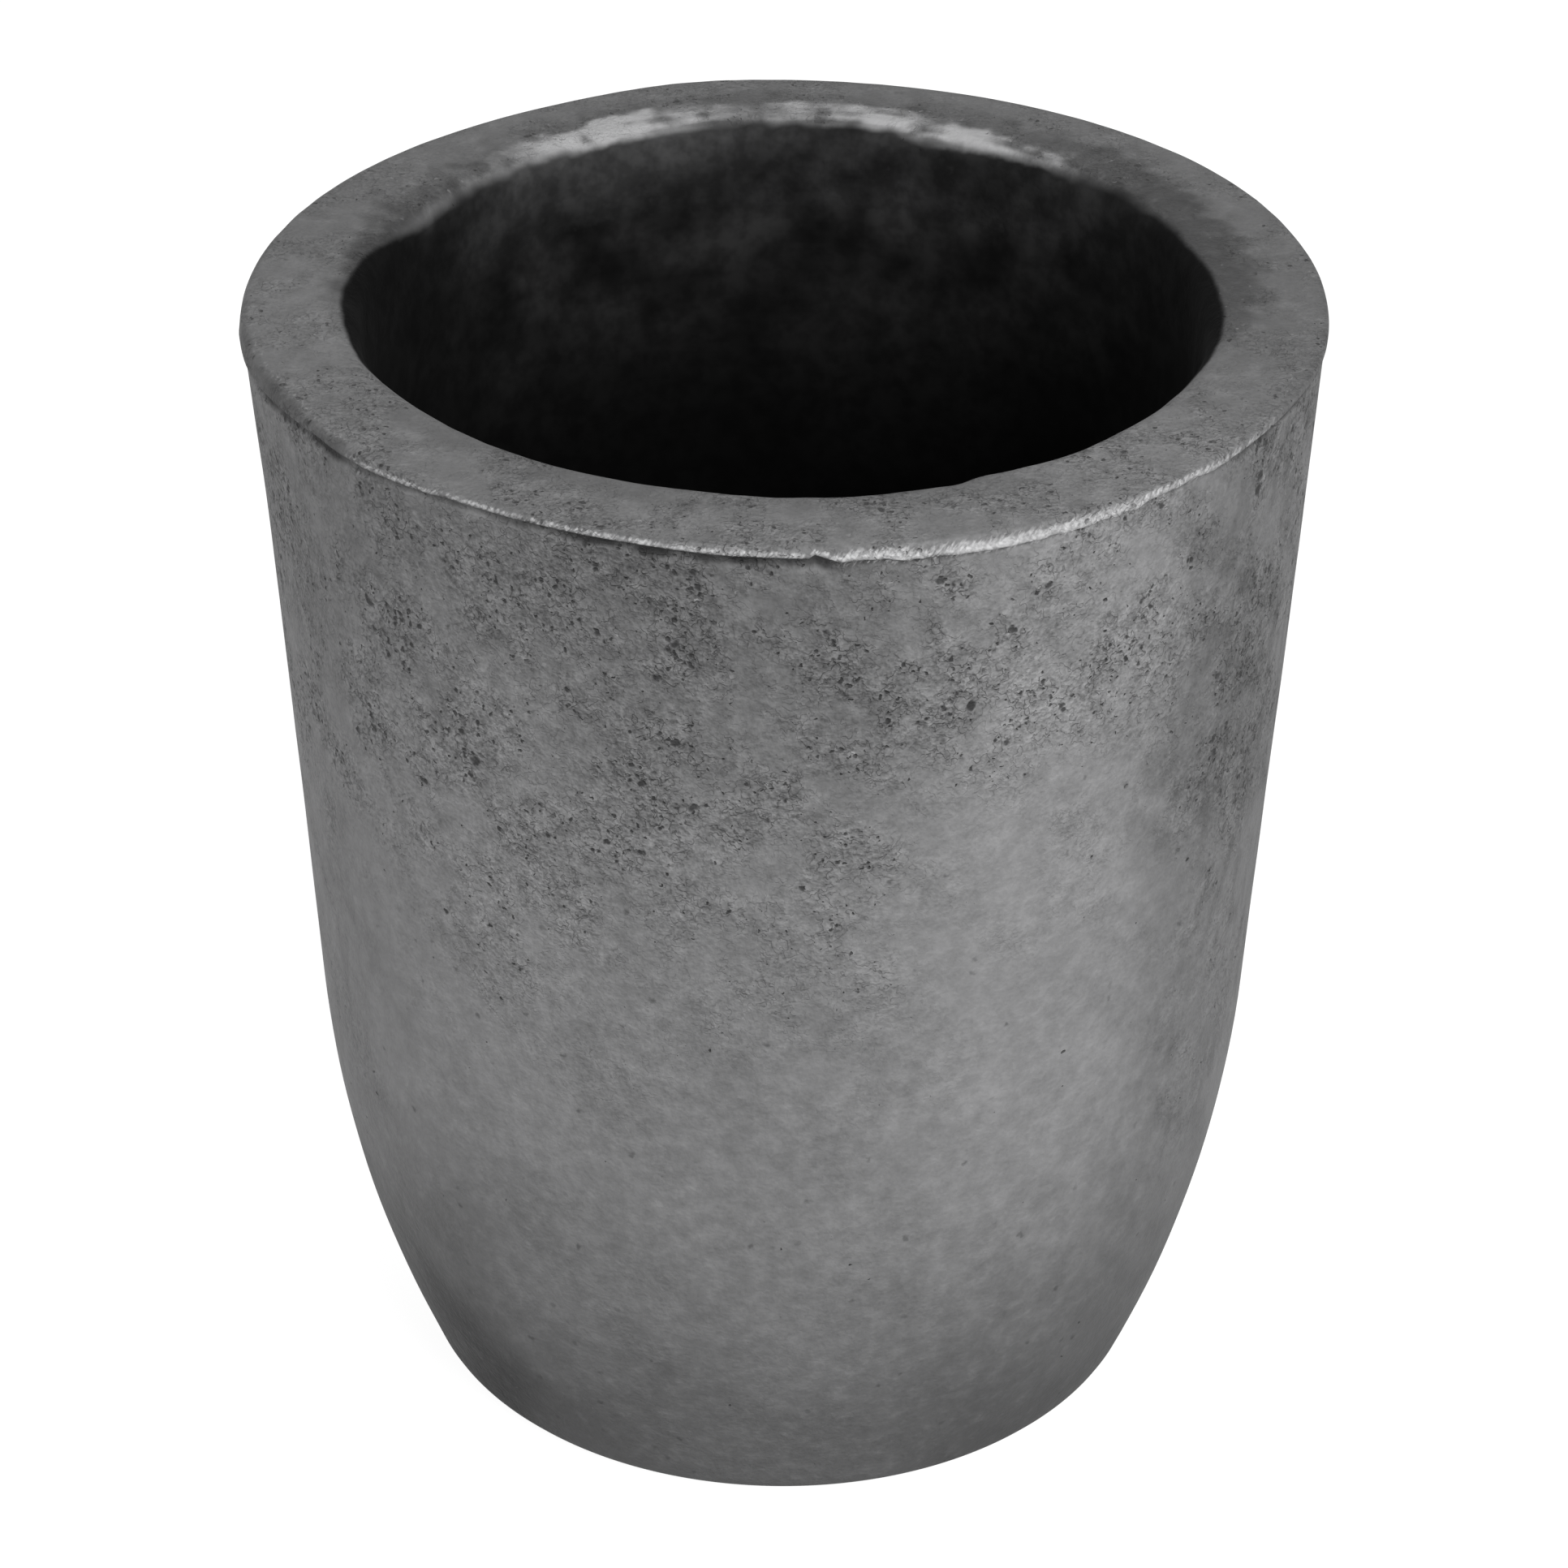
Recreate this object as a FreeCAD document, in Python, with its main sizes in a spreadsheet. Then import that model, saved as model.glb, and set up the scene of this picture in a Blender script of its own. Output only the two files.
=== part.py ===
import FreeCAD, Part
import math
import os
import Sketcher

# A pressed clay-graphite crucible: a thick, slightly tapered wall, a long bowl curve down to a flat foot,
# a flat rim with a thin raised lip round its outer edge, and a tapered cavity with a rounded bottom.
# Millimetres, +Z up, origin at the centre of the foot.

# Driving dimensions
SIZES = [
    ("rim_diameter", 118.0, "outside of the lip at the rim"),
    ("crucible_height", 132.0, "foot to rim"),
    ("lip_height", 1.6, "straight outer face of the lip"),
    ("lip_overhang", 0.3, "how far the lip stands out from the wall"),
    ("lip_edge_chamfer", 0.4, "broken top edge of the lip"),
    ("shoulder_diameter", 107.0, "outside, where the straight wall ends"),
    ("shoulder_height", 48.4, "foot to the end of the straight wall"),
    ("foot_inset", 13.5, "how far the edge of the flat foot lies inside the shoulder"),
    ("foot_bevel_width", 2.5, "bevel between the flat foot and the bowl curve, level"),
    ("foot_bevel_height", 1.8, "the same bevel, upright"),
    ("rim_wall", 12.8, "wall thickness at the rim"),
    ("shoulder_wall", 13.6, "wall thickness at the shoulder, level"),
    ("floor_thickness", 15.0, "foot to the cavity floor"),
    ("cavity_corner_radius", 18.0, "rounded bottom of the cavity"),
    ("mouth_edge_radius", 2.6, "round on the inner edge of the rim"),
]

doc = FreeCAD.newDocument("crucible_model")

# Sheet of sizes
sheet = doc.addObject("Spreadsheet::Sheet", "Sizes")
for row, (alias, value, meaning) in enumerate(SIZES, start=1):
    sheet.set(f"A{row}", alias)
    sheet.set(f"B{row}", str(value))
    sheet.set(f"C{row}", meaning)
    sheet.setAlias(f"B{row}", alias)
doc.recompute()


def size(alias):
    return float(sheet.get(alias))


def point(radius, height):
    return FreeCAD.Vector(radius, height, 0)


def new_profile(body, name):
    """An empty sketch on the body's XZ plane: its x is the radius and its y is the height."""
    plane = next(f for f in body.Origin.OriginFeatures if f.Role == "XZ_Plane")
    sketch = body.newObject("Sketcher::SketchObject", name)
    sketch.AttachmentSupport = [(plane, "")]
    sketch.MapMode = "FlatFace"
    return sketch


def bind(sketch, kind, where, value, expression):
    """Adds one dimension to a sketch and ties it to the sheet."""
    index = sketch.addConstraint(Sketcher.Constraint(kind, *where, value))
    sketch.setExpression(f"Constraints[{index}]", expression)


def turn(body, kind, name, sketch):
    """Turns a profile about the vertical axis, to add (Revolution) or to take away (Groove)."""
    feature = body.newObject(f"PartDesign::{kind}", name)
    feature.Profile = sketch
    feature.ReferenceAxis = (sketch, ["V_Axis"])
    feature.Angle = 360
    doc.recompute()
    return feature


def bowl_arc(wall_top, shoulder, bowl_end):
    """The arc that leaves the straight wall smoothly at the shoulder and ends just above the foot."""
    along = (shoulder - wall_top).normalize()
    inward = point(along.y, -along.x)
    chord = bowl_end - shoulder
    radius = chord.dot(chord) / (2 * chord.dot(inward))
    centre = shoulder + inward * radius
    end_angle = math.atan2(bowl_end.y - centre.y, bowl_end.x - centre.x)
    shoulder_angle = math.atan2(shoulder.y - centre.y, shoulder.x - centre.x)
    return Part.ArcOfCircle(Part.Circle(centre, FreeCAD.Vector(0, 0, 1), radius), end_angle, shoulder_angle)


# Parts of a sketch element, and the sketch's own axes and origin
WHOLE, START, END = range(3)
LEVEL_AXIS, HEIGHT_AXIS = range(-1, -3, -1)
ORIGIN = (LEVEL_AXIS, START)

body = doc.addObject("PartDesign::Body", "crucible")
body.Label = "crucible"
body.Placement = FreeCAD.Placement()

# Outer form: rim, lip, straight wall, bowl curve, bevel and foot
outer = new_profile(body, "outer_profile")
rim_edge = point(size("rim_diameter") / 2, size("crucible_height"))
lip_bottom = rim_edge - point(0, size("lip_height"))
wall_top = lip_bottom - point(size("lip_overhang"), size("lip_overhang"))
shoulder = point(size("shoulder_diameter") / 2, size("shoulder_height"))
foot_edge = point(shoulder.x - size("foot_inset"), 0)
bowl_end = foot_edge + point(size("foot_bevel_width"), size("foot_bevel_height"))
AXIS, RIM, LIP, UNDERCUT, WALL, BOWL, BEVEL, FOOT = range(8)
outer.addGeometry([
    Part.LineSegment(point(0, 0), point(0, rim_edge.y)),
    Part.LineSegment(point(0, rim_edge.y), rim_edge),
    Part.LineSegment(rim_edge, lip_bottom),
    Part.LineSegment(lip_bottom, wall_top),
    Part.LineSegment(wall_top, shoulder),
    bowl_arc(wall_top, shoulder, bowl_end),
    Part.LineSegment(bowl_end, foot_edge),
    Part.LineSegment(foot_edge, point(0, 0)),
])
outer.addConstraint([
    Sketcher.Constraint("Coincident", AXIS, START, *ORIGIN),
    Sketcher.Constraint("Coincident", AXIS, END, RIM, START),
    Sketcher.Constraint("Coincident", RIM, END, LIP, START),
    Sketcher.Constraint("Coincident", LIP, END, UNDERCUT, START),
    Sketcher.Constraint("Coincident", UNDERCUT, END, WALL, START),
    Sketcher.Constraint("Tangent", WALL, END, BOWL, END),
    Sketcher.Constraint("Coincident", BOWL, START, BEVEL, START),
    Sketcher.Constraint("Coincident", BEVEL, END, FOOT, START),
    Sketcher.Constraint("Coincident", FOOT, END, AXIS, START),
    Sketcher.Constraint("Vertical", AXIS),
    Sketcher.Constraint("Horizontal", RIM),
    Sketcher.Constraint("Vertical", LIP),
    Sketcher.Constraint("Horizontal", FOOT),
])
bind(outer, "DistanceY", (AXIS, START, AXIS, END), rim_edge.y, "Sizes.crucible_height")
bind(outer, "DistanceX", (*ORIGIN, RIM, END), rim_edge.x, "Sizes.rim_diameter / 2")
bind(outer, "DistanceY", (LIP, END, LIP, START), size("lip_height"), "Sizes.lip_height")
bind(outer, "DistanceX", (UNDERCUT, END, UNDERCUT, START), size("lip_overhang"), "Sizes.lip_overhang")
bind(outer, "DistanceY", (UNDERCUT, END, UNDERCUT, START), size("lip_overhang"), "Sizes.lip_overhang")
bind(outer, "DistanceX", (*ORIGIN, WALL, END), shoulder.x, "Sizes.shoulder_diameter / 2")
bind(outer, "DistanceY", (*ORIGIN, WALL, END), shoulder.y, "Sizes.shoulder_height")
bind(outer, "DistanceX", (BEVEL, END, BEVEL, START), size("foot_bevel_width"), "Sizes.foot_bevel_width")
bind(outer, "DistanceY", (BEVEL, END, BEVEL, START), size("foot_bevel_height"), "Sizes.foot_bevel_height")
bind(outer, "DistanceX", (*ORIGIN, FOOT, START), foot_edge.x, "Sizes.shoulder_diameter / 2 - Sizes.foot_inset")
outer_form = turn(body, "Revolution", "outer_form", outer)

# Cavity: a tapered wall from the mouth to the floor, set by the wall thickness at the rim and the shoulder
cavity = new_profile(body, "cavity_profile")
mouth = point(rim_edge.x - size("rim_wall"), rim_edge.y)
inner_shoulder = point(shoulder.x - size("shoulder_wall"), shoulder.y)
taper = (mouth.x - inner_shoulder.x) / (mouth.y - inner_shoulder.y)
floor_centre = point(0, size("floor_thickness"))
floor_corner = point(mouth.x - taper * (mouth.y - floor_centre.y), floor_centre.y)
CAVITY_AXIS, MOUTH, CAVITY_WALL, FLOOR, SHOULDER_MARK = range(5)
cavity.addGeometry([
    Part.LineSegment(floor_centre, point(0, mouth.y)),
    Part.LineSegment(point(0, mouth.y), mouth),
    Part.LineSegment(mouth, floor_corner),
    Part.LineSegment(floor_corner, floor_centre),
])
cavity.addGeometry(Part.Point(inner_shoulder), True)
cavity.addConstraint([
    Sketcher.Constraint("Coincident", CAVITY_AXIS, END, MOUTH, START),
    Sketcher.Constraint("Coincident", MOUTH, END, CAVITY_WALL, START),
    Sketcher.Constraint("Coincident", CAVITY_WALL, END, FLOOR, START),
    Sketcher.Constraint("Coincident", FLOOR, END, CAVITY_AXIS, START),
    Sketcher.Constraint("PointOnObject", CAVITY_AXIS, START, HEIGHT_AXIS),
    Sketcher.Constraint("PointOnObject", SHOULDER_MARK, START, CAVITY_WALL),
    Sketcher.Constraint("Vertical", CAVITY_AXIS),
    Sketcher.Constraint("Horizontal", MOUTH),
    Sketcher.Constraint("Horizontal", FLOOR),
])
bind(cavity, "DistanceY", (*ORIGIN, CAVITY_AXIS, START), floor_centre.y, "Sizes.floor_thickness")
bind(cavity, "DistanceY", (*ORIGIN, CAVITY_AXIS, END), mouth.y, "Sizes.crucible_height")
bind(cavity, "DistanceX", (*ORIGIN, MOUTH, END), mouth.x, "Sizes.rim_diameter / 2 - Sizes.rim_wall")
bind(cavity, "DistanceX", (*ORIGIN, SHOULDER_MARK, START), inner_shoulder.x,
     "Sizes.shoulder_diameter / 2 - Sizes.shoulder_wall")
bind(cavity, "DistanceY", (*ORIGIN, SHOULDER_MARK, START), inner_shoulder.y, "Sizes.shoulder_height")
cavity_cut = turn(body, "Groove", "cavity_cut", cavity)


def dress_edge(kind, name, base, corner, dimension, alias):
    """Rounds (Fillet) or bevels (Chamfer) the circular edge of the base that runs through a profile corner."""
    tolerance = 0.01
    edges = []
    for number, edge in enumerate(base.Shape.Edges, start=1):
        if not isinstance(edge.Curve, Part.Circle):
            continue
        off_radius = abs(edge.Curve.Radius - corner.x)
        off_height = abs(edge.Curve.Center.z - corner.y)
        if max(off_radius, off_height) < tolerance:
            edges.append(f"Edge{number}")
    feature = body.newObject(f"PartDesign::{kind}", name)
    feature.Base = (base, edges)
    feature.setExpression(dimension, f"Sizes.{alias}")
    doc.recompute()
    return feature


# Edges: rounded bottom of the cavity, rounded inner edge of the rim, broken top edge of the lip
bottom_round = dress_edge("Fillet", "bottom_round", cavity_cut, floor_corner, "Radius", "cavity_corner_radius")
mouth_round = dress_edge("Fillet", "mouth_round", bottom_round, mouth, "Radius", "mouth_edge_radius")
lip_bevel = dress_edge("Chamfer", "lip_bevel", mouth_round, rim_edge, "Size", "lip_edge_chamfer")
body.Tip = lip_bevel
doc.recompute()

# Tests before anything is written
for item in doc.Objects:
    if "Invalid" in item.State or "Error" in item.State:
        raise RuntimeError(f"{item.Name} failed: {item.State}")
if body.Shape.isNull() or not body.Shape.isValid() or len(body.Shape.Solids) != 1:
    raise RuntimeError("the crucible is not one valid solid")

os.makedirs("parts", exist_ok=True)
body.Shape.exportStep(f"parts/{body.Label}.step")

print(f"{body.Label}: {body.Shape.Volume / 1000:.1f} cm3")
for profile in (outer, cavity):
    print(f"{profile.Name}: fully constrained {profile.FullyConstrained}")
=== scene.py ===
import math

import bpy
import numpy as np
from mathutils import Matrix, Vector, noise


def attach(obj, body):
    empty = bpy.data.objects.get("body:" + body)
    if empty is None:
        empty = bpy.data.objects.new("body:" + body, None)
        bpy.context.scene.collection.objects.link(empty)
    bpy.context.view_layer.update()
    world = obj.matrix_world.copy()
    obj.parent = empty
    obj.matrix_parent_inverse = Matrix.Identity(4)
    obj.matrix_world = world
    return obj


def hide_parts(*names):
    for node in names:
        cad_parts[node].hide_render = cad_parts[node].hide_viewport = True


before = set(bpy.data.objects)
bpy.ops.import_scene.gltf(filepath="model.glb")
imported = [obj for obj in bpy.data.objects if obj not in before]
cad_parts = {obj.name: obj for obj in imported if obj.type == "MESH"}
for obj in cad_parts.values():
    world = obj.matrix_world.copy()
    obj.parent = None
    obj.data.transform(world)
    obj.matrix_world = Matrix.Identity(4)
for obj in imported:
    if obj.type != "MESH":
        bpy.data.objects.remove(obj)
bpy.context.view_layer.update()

# A worn clay-graphite crucible. Sizes are in millimetres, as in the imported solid, and go to metres at the end.
# Angles round the crucible are in degrees: 0 faces the camera, 90 is to its right and 180 is the far side.
RIM_HEIGHT = 132.0
RIM_RADIUS = 59.0
WALL_TOP = (58.7, 130.1)
SHOULDER = (53.5, 48.4)
BOWL_END = (42.5, 1.8)
FOOT_ROUND = 3.5
MOUTH_RADIUS = 46.2
MOUTH_ROUND = 2.6
CAVITY_SHOULDER = (39.9, 48.4)
CAVITY_FLOOR = 15.0
CAVITY_CORNER = 18.0

# Mesh density: columns round the crucible, the spacing of its rows, and the height at which the cavity's rows
# change from the lit part's spacing to the dark part's
COLUMNS = 640
FOOT_STEP = 9.0
FOOT_ROUND_STEP = 0.8
WALL_STEP = 2.2
RIM_STEP = 0.62
MOUTH_STEP = 0.38
CAVITY_STEP = 2.0
LIT_DOWN_TO = 80.0
DARK_STEP = 6.0
CORNER_STEP = 4.0
FLOOR_STEP = 5.0

# Wear of the rim, as (angle, millimetres) pairs that are joined all the way round: how far its outer edge lies
# outside the true circle, the lip's depth, bead, groove and rolled edge, and the mouth's wave and worn edge
RIM_OUT_OF_ROUND = [
    (-150, -0.9), (-140, -1.0), (-125, -0.67), (-110, -0.27), (-98, 0.12), (-86, 0.5), (-76, 0.5), (-62, 0.0),
    (-48, -0.15), (-34, -0.5), (-24, -0.45), (-12, -0.15), (0, 0.0), (20, 0.1), (40, 0.0), (60, -0.3),
    (75, -0.1), (90, -0.25), (105, -0.17), (120, 0.12), (128, 0.2), (138, 0.1), (150, 0.0), (168, 0.0),
    (180, 0.15), (185, 0.35), (191, 0.45), (196, 0.2), (201, -0.3), (206, -0.7),
]
LIP_DEPTH = [
    (-100, 1.5), (-85, 2.1), (-76, 2.0), (-66, 1.35), (-56, 0.75), (-46, 1.1), (-40, 0.75), (-34, 0.25),
    (-24, 0.2), (-16, 0.4), (-7, 0.7), (2.4, 0.85), (2.8, 0.4), (3.8, 0.8), (4.9, 1.3), (8, 1.35),
    (12, 1.5), (19, 1.65), (25, 1.55), (35, 1.3), (41, 0.7), (49, 0.8), (55, 0.6), (66, 0.4), (80, 0.7),
    (110, 1.2), (180, 1.5),
]
LIP_BEAD = [
    (-100, 0.1), (-80, 0.12), (-55, 0.05), (-42, 0.12), (-30, 0.2), (-10, 0.3), (3, 0.28), (10, 0.2), (30, 0.15),
    (45, 0.12), (60, 0.03), (100, 0.05), (180, 0.12),
]
LIP_GROOVE = [
    (-120, 0.6), (-90, 0.9), (-70, 1.0), (-52, 0.9), (-44, 0.6), (-30, 0.65), (-12, 0.9), (2, 0.9), (4, 1.2),
    (7, 0.7), (20, 0.45), (45, 0.4), (56, 0.7), (68, 0.6), (80, 0.4), (180, 0.6),
]
LIP_ROLLED = [
    (-120, 0.4), (-90, 1.0), (-62, 1.2), (-48, 0.5), (-25, 0.15), (30, 0.1), (50, 0.3), (75, 0.5), (180, 0.4),
]
MOUTH_WAVE = [
    (-105, -0.3), (-96, 0.0), (-90, 0.25), (-84, 0.4), (-76, 0.95), (-70, 1.15), (-64, 0.85), (-57, 0.45),
    (-50, 0.2), (-43, 0.0), (-35, -0.15), (-28, -0.2), (-20, -0.35), (-11, -0.38), (-2, 0.2), (8, 0.25),
    (18, 0.0), (21.5, 0.2), (25, -0.65), (32, -0.3), (39, 0.15), (47, -0.15), (55, 0.15), (63, 0.2),
    (71, 0.1), (78, 0.0), (84, -0.45), (90, -0.9), (120, -0.4), (180, -0.2), (240, -0.3),
]
MOUTH_WORN = [
    (-170, 0.4), (-160, 0.9), (-140, 0.8), (-128, 0.3), (-110, 0.1), (100, 0.1), (135, 0.4), (150, 0.8),
    (165, 0.7), (180, 0.5),
]

# How strongly the lip is painted bright, as worn graphite with a painted highlight: its bead, the face above the
# bead and the edge of the rim's flat. Then the painted shade on its face and in the groove below it.
LIP_RUBBED_HIGHLIGHT = [
    (-52, 0.0), (-48, 0.5), (-41, 0.65), (-37, 0.45), (-31, 0.65), (-27, 0.5), (-22, 0.65), (-8, 0.75),
    (1, 0.7), (2.4, 0.3), (3.0, 0.75), (5, 0.7), (6, 0.95), (11, 1.0), (14, 0.65), (18, 1.0), (30, 1.05), (38, 0.95),
    (46, 0.8), (52, 0.6), (57, 0.5), (61, 0.0), (180, 0.1),
]
LIP_FACE_RUBBED_HIGHLIGHT = [
    (-52, 0.0), (-44, 0.2), (-25, 0.1), (3, 0.0), (7, 0.85), (30, 0.9), (46, 0.75), (58, 0.4), (64, 0.0),
]
LIP_EDGE_RUBBED_HIGHLIGHT = [(-95, 0.0), (-80, 0.22), (-52, 0.26), (-46, 0.0), (180, 0.0)]
LIP_FACE_SHADE = [
    (-110, 0.1), (-85, 0.4), (-74, 0.6), (-53, 0.65), (-47, 0.0), (60, 0.0), (70, 0.3), (85, 0.2), (180, 0.1),
]
LIP_SHADE = [
    (-120, 0.3), (-90, 0.9), (-54, 1.1), (-46, 0.4), (-34, 0.4), (-20, 1.0), (4, 1.1), (9, 0.5),
    (30, 0.25), (48, 0.25), (56, 0.9), (68, 0.8), (78, 0.2), (180, 0.3),
]

# The mouth: how bright the painted highlight on its worn far edge is and how far out that reaches, how far down
# from the rim's flat the soot starts, and the smudge that the soot leaves on the rim
MOUTH_RUBBED_HIGHLIGHT = [
    # angle, strength, reach outward
    (-170, 0.4, 3.2), (-165, 0.7, 4.0), (-160, 1.05, 3.2), (-155, 1.2, 2.8), (-150, 1.0, 2.5), (-145, 0.8, 2.2),
    (-140, 0.26, 1.8), (-134, 0.1, 1.6), (-127, 0.0, 1.0), (132, 0.0, 1.0), (142, 0.55, 1.0), (150, 0.95, 1.2),
    (156, 0.9, 1.2), (161, 0.4, 2.4), (166, 0.8, 3.4), (172, 0.65, 3.6), (180, 0.6, 3.6), (184, 0.1, 3.3),
]
MOUTH_SOOT = [
    (-135, 2.3), (-130, 2.25), (-125, 2.7), (-119, 3.3), (-114, 3.0), (-110, 2.3), (-105, 1.5), (-100, 0.9),
    (-90, 0.35), (-84, 0.5), (-76, 1.2), (-60, 2.3), (0, 2.6), (60, 2.2), (78, 1.0), (88, 0.5), (98, 0.9),
    (106, 1.5), (116, 1.3), (126, 1.15), (132, 1.8), (140, 1.75), (146, 1.8), (157, 2.1), (161, 2.2),
    (166, 1.2), (176, 1.25), (185, 1.2), (195, 1.2), (203, 2.0), (210, 1.75), (215, 1.9),
]
MOUTH_SMUDGE = [
    # angle, reach outward, how much it darkens
    (-135, 3.0, 0.2), (-125, 1.8, 0.35), (-118, 1.5, 0.5), (-110, 1.0, 0.65), (-100, 0.9, 0.75), (-90, 0.8, 0.65),
    (-83, 0.6, 0.35), (-75, 0.5, 0.0), (70, 1.0, 0.0), (80, 2.0, 0.4), (88, 3.0, 0.55), (98, 4.0, 0.6),
    (110, 3.8, 0.6), (126, 4.6, 0.6), (140, 4.6, 0.45), (155, 5.0, 0.25), (180, 5.8, 0.3),
    (200, 5.6, 0.25), (215, 4.5, 0.2),
]


# Helpers for profiles and noise

def around(rows, angles, column=1):
    """A column of a table at all angles, joined by straight runs and wrapped round the circle."""
    return np.interp(angles, [row[0] for row in rows], [row[column] for row in rows], period=360)


def blurred(values, reach):
    """Values round the circle, each averaged with its neighbours up to the reach in columns."""
    return sum(np.roll(values, k) for k in range(-reach, reach + 1)) / (2 * reach + 1)


def smooth(low, high, value):
    """0 below low, 1 above high and a smooth rise between them."""
    t = np.clip((value - low) / (high - low), 0, 1)
    return t * t * (3 - 2 * t)


def between(low, rise_end, fall_start, high, value):
    """1 between the two inner limits, 0 outside the two outer ones, and smooth in between."""
    return smooth(low, rise_end, value) * smooth(high, fall_start, value)


def run(start, end, step):
    """Points on a straight line, the first one left out."""
    count = max(1, round(math.dist(start, end) / step))
    return [(start[0] + (end[0] - start[0]) * k / count, start[1] + (end[1] - start[1]) * k / count)
            for k in range(1, count + 1)]


def arc(centre, radius, start, end, step):
    """Points on an arc between two angles in radians, the first one left out."""
    count = max(1, round(abs(end - start) * radius / step))
    angles = [start + (end - start) * k / count for k in range(1, count + 1)]
    return [(centre[0] + radius * math.cos(a), centre[1] + radius * math.sin(a)) for a in angles]


def noise_at(points, scale, seed):
    """Soft noise between -1 and 1 at an array of points, with bumps about as large as the scale."""
    offset = Vector((seed * 17.3, seed * 5.1, seed * 9.7))
    flat = points.reshape(-1, 3) / scale
    values = [noise.noise(Vector(p) + offset) for p in flat.tolist()]
    return np.array(values).reshape(points.shape[:-1])


# Profile of the crucible, from the centre of the foot up the outside, over the rim and down the cavity

def outside_rows():
    """The foot, its rounded edge, the bowl curve and the straight wall up to the lip."""
    down = np.subtract(SHOULDER, WALL_TOP)
    down = down / np.linalg.norm(down)
    inward = np.array([down[1], -down[0]])
    chord = np.subtract(BOWL_END, SHOULDER)
    bowl_radius = chord.dot(chord) / (2 * chord.dot(inward))
    bowl_centre = np.add(SHOULDER, inward * bowl_radius)

    reach = bowl_radius - FOOT_ROUND
    foot_centre = np.array([bowl_centre[0] + math.sqrt(reach ** 2 - (FOOT_ROUND - bowl_centre[1]) ** 2), FOOT_ROUND])
    foot_end = math.atan2(*(foot_centre - bowl_centre)[::-1])
    shoulder_end = math.atan2(*np.subtract(SHOULDER, bowl_centre)[::-1])

    rows = [(6.0, 0.0)]
    rows += run(rows[-1], (foot_centre[0], 0.0), FOOT_STEP)
    rows += arc(foot_centre, FOOT_ROUND, -math.pi / 2, foot_end, FOOT_ROUND_STEP)
    rows += arc(bowl_centre, bowl_radius, foot_end, shoulder_end, WALL_STEP)
    rows += run(SHOULDER, wall_point(LIP_ZONE), WALL_STEP)
    return np.array(rows)


def wall_point(depth):
    """A point of the straight outer wall, at a depth below the rim."""
    slope = (WALL_TOP[0] - SHOULDER[0]) / (WALL_TOP[1] - SHOULDER[1])
    height = RIM_HEIGHT - depth
    return (WALL_TOP[0] + slope * (height - WALL_TOP[1]), height)


def inside_rows():
    """The flat of the rim, the rounded mouth edge, the cavity wall, its rounded bottom and its floor."""
    slope = (MOUTH_RADIUS - CAVITY_SHOULDER[0]) / (RIM_HEIGHT - CAVITY_SHOULDER[1])
    lean = math.atan(slope)

    def wall_radius(height):
        return MOUTH_RADIUS - slope * (RIM_HEIGHT - height)

    mouth_height = RIM_HEIGHT - MOUTH_ROUND
    mouth_centre = (wall_radius(mouth_height) + MOUTH_ROUND / math.cos(lean), mouth_height)
    corner_height = CAVITY_FLOOR + CAVITY_CORNER
    corner_centre = (wall_radius(corner_height) - CAVITY_CORNER / math.cos(lean), corner_height)

    flat = run((RIM_RADIUS - 1.3, RIM_HEIGHT), (mouth_centre[0], RIM_HEIGHT), RIM_STEP)
    mouth = arc(mouth_centre, MOUTH_ROUND, math.pi / 2, math.pi - lean, MOUTH_STEP)
    corner = arc(corner_centre, CAVITY_CORNER, -lean, -math.pi / 2, CORNER_STEP)
    wall_end = (corner_centre[0] + CAVITY_CORNER * math.cos(lean), corner_height - CAVITY_CORNER * math.sin(lean))
    lit_end = (wall_radius(LIT_DOWN_TO), LIT_DOWN_TO)
    wall = run(mouth[-1], lit_end, CAVITY_STEP) + run(lit_end, wall_end, DARK_STEP)
    floor = run(corner[-1], (5.0, CAVITY_FLOOR), FLOOR_STEP)
    return np.array(flat), np.array(mouth), np.array(wall + corner + floor)
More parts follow.
